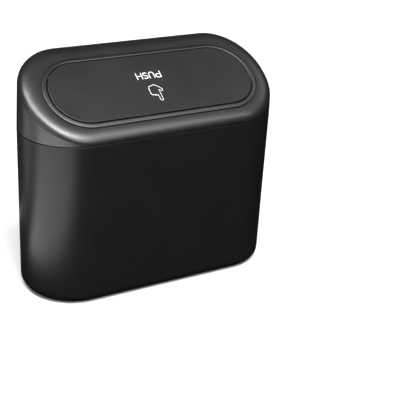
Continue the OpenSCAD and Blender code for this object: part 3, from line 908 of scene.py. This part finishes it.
class TRASHBIN_OT_pivot(bpy.types.Operator):
    """Builds the lid's bosses, the steel axle and the two torsion springs"""
    bl_idname = "trash_bin.pivot"
    bl_label = "Flap pivot"

    def execute(self, context):
        form = Form(context)
        wall, p = form.s.bin.wall, form.s.pivot
        self.bosses(context, form, wall, p)
        axle = form.on_top(0, form.axle_u, form.axle_n)
        half = form.boss_x + form.boss_open - form.s.clip.clearance
        rod = turned_pin("flap_axle_rod", -half, half, p.pin / 2, axle.y, axle.z)
        dress(context, rod, "flap_axle")
        for name, side in (("flap_spring_left", -1), ("flap_spring_right", 1)):
            self.spring(context, form, wall, p, name, side)
        return {"FINISHED"}

    def bosses(self, context, form, wall, p):
        """Two lugs under the lid, open below by the slot where the axle snaps in."""
        top = p.axle_drop - wall + SUNK
        r, bore, slot = p.lug_radius, form.bore_r, p.snap_slot / 2
        lean, seat, steps = math.asin(slot / r), math.asin(slot / bore), SNAP_STEPS
        outer = [(r * math.sin(a), -r * math.cos(a)) for a in
                 (lean + (math.pi / 2 - lean) * i / steps for i in range(steps + 1))]
        inner = [(bore * math.sin(a), -bore * math.cos(a)) for a in
                 (seat + (math.pi - seat) * i / steps for i in range(2 * steps + 1))]
        left = [(-u, n) for u, n in reversed(outer)]
        snap = inner[::-1] + outer + [(r, top), (-r, top)] + left
        shapes = []
        for s in (-1, 1):
            for profile, start, size in ((snap, 0, form.boss_open + SUNK / 2),
                                         (lug_profile(r, top), form.boss_open, p.boss_end)):
                at = form.boss_x + start
                shapes.append(form.slanted(form.about_axle(profile), at, at + size, s))
        dress(context, fused("axle_bosses", shapes), "lid_frame")

    def spring(self, context, form, wall, p, name, side):
        """One leg lifts the flap in front and the other bears on the lid behind."""
        touch = p.wire / 2 + LEG_CLEAR
        flap_n = form.panel_under + p.axle_drop - touch
        lid_n = p.axle_drop - wall - touch
        flap_a = math.atan2(p.flap_leg, flap_n) + math.asin(
            p.coil / math.hypot(p.flap_leg, flap_n))
        lid_a = math.atan2(lid_n, p.lid_leg) + math.acos(p.coil / math.hypot(p.lid_leg, lid_n))
        wound = flap_a - lid_a + 2 * math.pi * p.turns
        per_turn = p.pitch / (2 * math.pi)
        line = [(0.0, -p.flap_leg, flap_n, flap_a)]
        steps = int(wound / (2 * math.pi) * COIL_STEPS)
        for i in range(steps + 1):
            gone = wound * i / steps
            a = flap_a - gone
            line.append((per_turn * gone, p.coil * math.cos(a), p.coil * math.sin(a), a))
        line.append((per_turn * wound, p.lid_leg, lid_n, lid_a))
        rings = []
        for x, u, n, a in line:
            ring = []
            for j in range(WIRE_STEPS):
                t = 2 * math.pi * j / WIRE_STEPS
                across, out = p.wire / 2 * math.cos(t), p.wire / 2 * math.sin(t)
                ring.append(form.on_top(side * (form.spring_x + x + across),
                                        form.axle_u + u + out * math.cos(a),
                                        form.axle_n + n + out * math.sin(a)))
            rings.append(ring)
        spring = Solid().skin(rings).object(name + "_wire")
        for face in spring.data.polygons:
            face.use_smooth = len(face.vertices) == 4
        spring.data.materials.append(material(context, "drawn_wire"))
        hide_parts(name)
        near, far = form.spring_x + p.wire / 2, form.spring_x + per_turn * wound - p.wire / 2
        axle = form.on_top(0, form.axle_u, form.axle_n)
        side * near
        side * far
        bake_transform(spring)


class TRASHBIN_OT_flap(bpy.types.Operator):
    """Builds the push flap: panel, edge wall, stop flange, ribs and lugs"""
    bl_idname = "trash_bin.flap"
    bl_label = "Push flap"

    def execute(self, context):
        form = Form(context)
        f, p, b = form.s.flap, form.s.pivot, form.s.bin
        rings = [form.flap_ring(-f.edge, form.panel_under), form.flap_ring(-f.edge, -f.drop),
                 form.flap_ring(0, -f.drop)]
        rings += [form.flap_ring(-f.edge_round * (1 - c), f.frame_height - f.edge_round * (1 - s))
                  for s, c in quarter_turn(steps=5)]
        panel = Solid().skin(rings).object("flap_panel")
        carve(panel, [self.tilted(form, (-form.lug_end, form.axle_u, -f.drop - MM), (
            form.lug_end, form.open_back + MM, form.panel_under))])
        dress(context, panel, "push_flap")

        top, inside = -b.wall - form.s.lid.seam_gap, -f.gap - f.edge / 2
        flange = Solid().skin([form.opening_ring(out, n) for out, n in (
            (f.stop_lap, top - f.stop), (f.stop_lap, top), (inside, top),
            (inside, top - f.stop))], closed=True).object("flap_stop_flange")
        carve(flange, [self.tilted(form, (-b.length, form.open_mid, -b.depth),
                                   (b.length, b.depth, b.depth))])
        soften(flange, CRISP / 2, 1)
        dress(context, flange, "push_flap")

        front = form.open_front - inside
        length_u = 2 * form.open_half - 2 * f.gap - f.edge
        ribs = fused("flap_ribs", [self.tilted(
            form, (x - f.rib / 2, front, form.panel_under - f.rib_height),
            (x + f.rib / 2, front + length_u, form.panel_under + SUNK))
            for x in (-form.rib_x, 0, form.rib_x)])
        dress(context, ribs, "push_flap")

        profile = form.about_axle(lug_profile(
            p.lug_radius, p.axle_drop + form.panel_under + SUNK))
        lugs = soften(fused("flap_lugs", [form.slanted(profile, form.lug_x, form.lug_end, s)
                                          for s in (-1, 1)]), CRISP)
        axle = form.on_top(0, form.axle_u, form.axle_n)
        reach = form.lug_end + MM
        carve(lugs, [Solid().turned([(-reach, form.bore_r), (reach, form.bore_r)],
                                    axle.y, axle.z)])
        dress(context, lugs, "push_flap")
        return {"FINISHED"}

    def tilted(self, form, low, high):
        """A block in the plane of the lid's top."""
        return form.slanted(rectangle(low, high), low[0], high[0])


# Widths of the word's letters in millimetres, the share of the height at which the P's bowl
# ends, and the angle in degrees at which the S opens
LETTER_WIDTHS = (3.7, 3.7, 3.3, 3.9)
BOWL_FOOT = 0.42
S_OPEN = 28

# A sharp corner of a line is cut off below this cosine
MITRE_LIMIT = 0.5

# Middle line of a plain pointing hand, closed, in millimetres on the flap
HAND_LINE = (
    (-4.5, -8.3), (-0.8, -7.3), (1.6, -8.9), (3.4, -11.1), (3.1, -12.0), (2.2, -12.2),
    (0.9, -11.0), (1.0, -13.4), (1.0, -18.1), (0.7, -18.7), (0.1, -18.9), (-0.5, -18.7),
    (-0.8, -18.1), (-0.8, -14.6), (-1.2, -15.2), (-1.9, -15.1), (-2.2, -14.4), (-2.6, -14.9),
    (-3.2, -14.8), (-3.5, -14.1), (-3.9, -14.5), (-4.5, -14.4), (-4.9, -13.6), (-5.0, -11.6),
    (-4.9, -9.6))


def arc(cx, cy, rx, ry, start, end):
    """Points on an ellipse between two angles in degrees."""
    return [Vector((cx + rx * math.cos(a), cy + ry * math.sin(a))) for a in
            (math.radians(start + (end - start) * i / LETTER_STEPS)
             for i in range(LETTER_STEPS + 1))]


def stroke(path, width, closed=False):
    """The two sides of a line of even width, mitred at its corners."""
    left, right = [], []
    n = len(path)
    for i, here in enumerate(path):
        before = path[i - 1] if closed or i else None
        after = path[(i + 1) % n] if closed or i < n - 1 else None
        a = unit(here - before) if before is not None else unit(after - here)
        b = unit(after - here) if after is not None else a
        across = unit(left_of(a) + left_of(b))
        reach = width / 2 / max(across.dot(left_of(a)), MITRE_LIMIT)
        left.append(here + across * reach)
        right.append(here - across * reach)
    return left, right


class TRASHBIN_OT_marks(bpy.types.Operator):
    """Prints the operating word and a plain pointing hand on the flap"""
    bl_idname = "trash_bin.marks"
    bl_label = "Printed marks"

    def execute(self, context):
        form = Form(context)
        m = form.s.marks
        word = []
        for path in self.letters(m.letter_height, m.letter_stroke, m.letter_space):
            turned = [Vector((m.word_x - p.x, m.word_u - p.y)) for p in path]
            word.append((turned, m.letter_stroke, False))
        self.print_lines(context, form, "push_word", word)
        self.print_lines(context, form, "push_hand", [
            ([Vector(p) * MM for p in HAND_LINE], m.hand_stroke, True)])
        return {"FINISHED"}

    def letters(self, h, t, space):
        """Middle lines of the letters, about the middle of the word."""
        wide = [w * MM for w in LETTER_WIDTHS]
        total = sum(wide) + space * (len(wide) - 1)
        x = [-total / 2]
        for w in wide:
            x.append(x[-1] + w + space)
        half = h / 2
        mid = -half + BOWL_FOOT * h
        bowl = (half - t / 2 - mid) / 2
        px = x[0]
        p = [Vector((px + t / 2, -half)), Vector((px + t / 2, half - t / 2))]
        p += arc(px + wide[0] - t / 2 - bowl, mid + bowl, bowl, bowl, 90, -90)
        p += [Vector((px + t, mid))]
        ux, r = x[1], (wide[1] - t) / 2
        u = [Vector((ux + t / 2, half))]
        u += arc(ux + wide[1] / 2, -half + t / 2 + r, r, r, 180, 360)
        u += [Vector((ux + wide[1] - t / 2, half))]
        sx, rx, ry = x[2] + wide[2] / 2, (wide[2] - t) / 2, (h - t) / 4
        s = arc(sx, ry, rx, ry, S_OPEN, 270) + arc(sx, -ry, rx, ry, 90, S_OPEN - 180)[1:]
        hx, end = x[3], x[3] + wide[3]
        return [p, u, s,
                [Vector((hx + t / 2, -half)), Vector((hx + t / 2, half))],
                [Vector((end - t / 2, -half)), Vector((end - t / 2, half))],
                [Vector((hx + t, 0)), Vector((end - t, 0))]]

    def print_lines(self, context, form, name, lines):
        """Thin closed ribbons of ink that lie on the panel."""
        base = form.s.flap.frame_height
        low, high = base - INK_SUNK, base + form.s.marks.ink
        solid = Solid()
        bm = solid.bm
        for path, width, closed in lines:
            rows = []
            for l, r in zip(*stroke(path, width, closed)):
                rows.append([bm.verts.new(form.on_top(q.x, q.y, n)) for q, n in (
                    (l, low), (l, high), (r, high), (r, low))])
            last = len(rows) if closed else len(rows) - 1
            for i in range(last):
                a, b = rows[i], rows[(i + 1) % len(rows)]
                for j in range(4):
                    k = (j + 1) % 4
                    bm.faces.new((a[j], a[k], b[k], b[j]))
            if not closed:
                bm.faces.new(rows[0][::-1])
                bm.faces.new(rows[-1])
        marks = solid.object(name)
        dress(context, marks, "push_flap", finish="white_ink")


# Reach and height of the floor, which lies just below the bin so that the two don't touch
FLOOR_REACH = 30.0
FLOOR_Z = -0.2 * MM
# Where most lights point: the bin's upper half
BIN_MIDDLE = (0, 0, 0.1)
# Spread of the far light, a narrow beam that doesn't reach the bin
FAR_SPREAD = math.radians(60)

# Ends in plan of the black cards that stand upright, and corners of the one that lies flat
UPRIGHT_FLAGS = (
    ("left_flag", (-0.155, 0.11), (-0.03, 0.11)),
    ("right_flag", (0.14, -0.15), (0.14, 0.2)))
FRONT_FLAG = ((-0.35, -0.9), (0.7, -0.9), (0.7, 0.1), (-0.35, 0.1))
FLAG_LOW = 0.5 * MM


class TRASHBIN_OT_stage(bpy.types.Operator):
    """Lays the pale floor and sets the camera, the soft lights and the surroundings"""
    bl_idname = "trash_bin.stage"
    bl_label = "Studio"

    def execute(self, context):
        s = context.scene.trash_bin
        self.camera(context, s.studio)
        self.floor(s)
        self.lights(context, s.studio)
        self.flags(s.studio)
        return {"FINISHED"}

    def camera(self, context, s):
        data = bpy.data.cameras.new("camera")
        data.sensor_width = 36
        data.lens = s.lens
        data.clip_start = 0.01
        camera = bpy.data.objects.new("camera", data)
        turn = (Matrix.Rotation(s.azimuth, 4, "Z")
                @ Matrix.Rotation(math.pi / 2 - s.elevation, 4, "X")
                @ Matrix.Rotation(s.roll, 4, "Z"))
        camera.matrix_world = Matrix.Translation(s.eye) @ turn
        context.scene.collection.objects.link(camera)
        context.scene.camera = camera

    def sheet(self, name, corners, finish):
        """One face of the stage."""
        solid = Solid()
        solid.bm.faces.new([solid.bm.verts.new(corner) for corner in corners])
        sheet = solid.object(name)
        sheet.data.materials.append(finish.material)
        return sheet

    def floor(self, s):
        """A pale floor that fades evenly into the surroundings."""
        f = Finish("pale_floor")
        cloud = f.noise(FLOOR_CLOUD)
        f.feed(Base_Color=f.tint(rgba(s.finish.floor, 0.98), rgba(s.finish.floor), cloud),
               Roughness=cloud * 0.1 + 0.75, Specular_IOR_Level=0.2)
        self.sheet("floor", [(x * FLOOR_REACH, y * FLOOR_REACH, FLOOR_Z) for x, y in (
            (-1, -1), (1, -1), (1, 1), (-1, 1))], f)

    def flags(self, s):
        """Black cards beside and before the bin, which show only in its reflections."""
        f = Finish("black_card")
        f.feed(Base_Color=f.tint(rgba((0.004, 0.004, 0.004)), rgba((0.008, 0.008, 0.008)),
                                 f.noise(CARD_CLOUD)), Roughness=0.9, Specular_IOR_Level=0.0)
        cards = [("front_flag", [(x, y, FLAG_LOW) for x, y in FRONT_FLAG])]
        for name, a, b in UPRIGHT_FLAGS:
            cards.append((name, [(*a, FLAG_LOW), (*b, FLAG_LOW), (*b, s.flag), (*a, s.flag)]))
        for name, corners in cards:
            card = self.sheet(name, corners, f)
            card.visible_camera = False
            card.visible_diffuse = False
            card.visible_shadow = False

    def lights(self, context, s):
        """Sets the surroundings and hangs the lights, which the camera doesn't see."""
        world = bpy.data.worlds.new("pale surroundings")
        world.use_nodes = True
        back = world.node_tree.nodes["Background"]
        back.inputs["Color"].default_value = (1.0, 1.0, 1.0, 1.0)
        back.inputs["Strength"].default_value = s.sky
        context.scene.world = world
        context.scene.view_settings.view_transform = "Standard"
        for name, place, target, width, depth, watts in (
                ("key", (-0.02, -0.53, 1.0), BIN_MIDDLE, 0.5, 0.46, s.key),
                ("top", (-0.28, -0.175, 1.0), BIN_MIDDLE, 0.95, 0.22, s.top),
                ("fore", (0.04, -0.95, 0.72), BIN_MIDDLE, 0.7, 0.4, s.fore),
                ("side", (0.46, -0.5, 1.0), BIN_MIDDLE, 0.42, 0.44, s.side),
                ("card", (-0.5, -0.12, 0.28), BIN_MIDDLE, 0.6, 0.44, s.card),
                ("end", (0.96, 0.04, 1.0), BIN_MIDDLE, 0.3, 0.3, s.end),
                ("far", (0.62, 1.05, 1.1), (0.62, 1.05, 0), 1.2, 0.8, s.far),
                ("low", (-0.25, -0.12, 0.001), (-0.25, -0.12, 1.0), 0.26, 0.32, s.low)):
            data = bpy.data.lights.new(name, "AREA")
            data.energy = watts
            data.shape = "RECTANGLE"
            data.size, data.size_y = width, depth
            data.spread = FAR_SPREAD if name == "far" else math.pi
            light = bpy.data.objects.new(name, data)
            aim = (Vector(target) - Vector(place)).to_track_quat("-Z", "Y")
            light.visible_camera = False
            light.matrix_world = Matrix.Translation(place) @ aim.to_matrix().to_4x4()
            context.scene.collection.objects.link(light)


class TRASHBIN_PT_panel(bpy.types.Panel):
    """Lists the pieces of the car trash bin"""
    bl_idname = "TRASHBIN_PT_panel"
    bl_label = "Car trash bin"
    bl_space_type = "VIEW_3D"
    bl_region_type = "UI"
    bl_category = "Trash bin"

    def draw(self, context):
        for operator in OPERATORS:
            self.layout.operator(operator.bl_idname)


GROUPS = (BinSizes, LidSizes, FlapSizes, PivotSizes, HingeSizes, ClipSizes, MarkSizes,
          Finishes, Studio, TrashBin)
OPERATORS = (TRASHBIN_OT_stage, TRASHBIN_OT_shell, TRASHBIN_OT_hinge, TRASHBIN_OT_clip,
             TRASHBIN_OT_lid, TRASHBIN_OT_pivot, TRASHBIN_OT_flap, TRASHBIN_OT_marks)


def register():
    for cls in GROUPS + OPERATORS + (TRASHBIN_PT_panel,):
        bpy.utils.register_class(cls)
    bpy.types.Scene.trash_bin = PointerProperty(type=TrashBin)


def unregister():
    del bpy.types.Scene.trash_bin
    for cls in reversed(GROUPS + OPERATORS + (TRASHBIN_PT_panel,)):
        bpy.utils.unregister_class(cls)


def main():
    register()
    bpy.ops.trash_bin.stage()
    bpy.ops.trash_bin.shell()
    bpy.ops.trash_bin.hinge()
    bpy.ops.trash_bin.clip()
    bpy.ops.trash_bin.lid()
    bpy.ops.trash_bin.pivot()
    bpy.ops.trash_bin.flap()
    bpy.ops.trash_bin.marks()


if __name__ == "__main__":
    main()
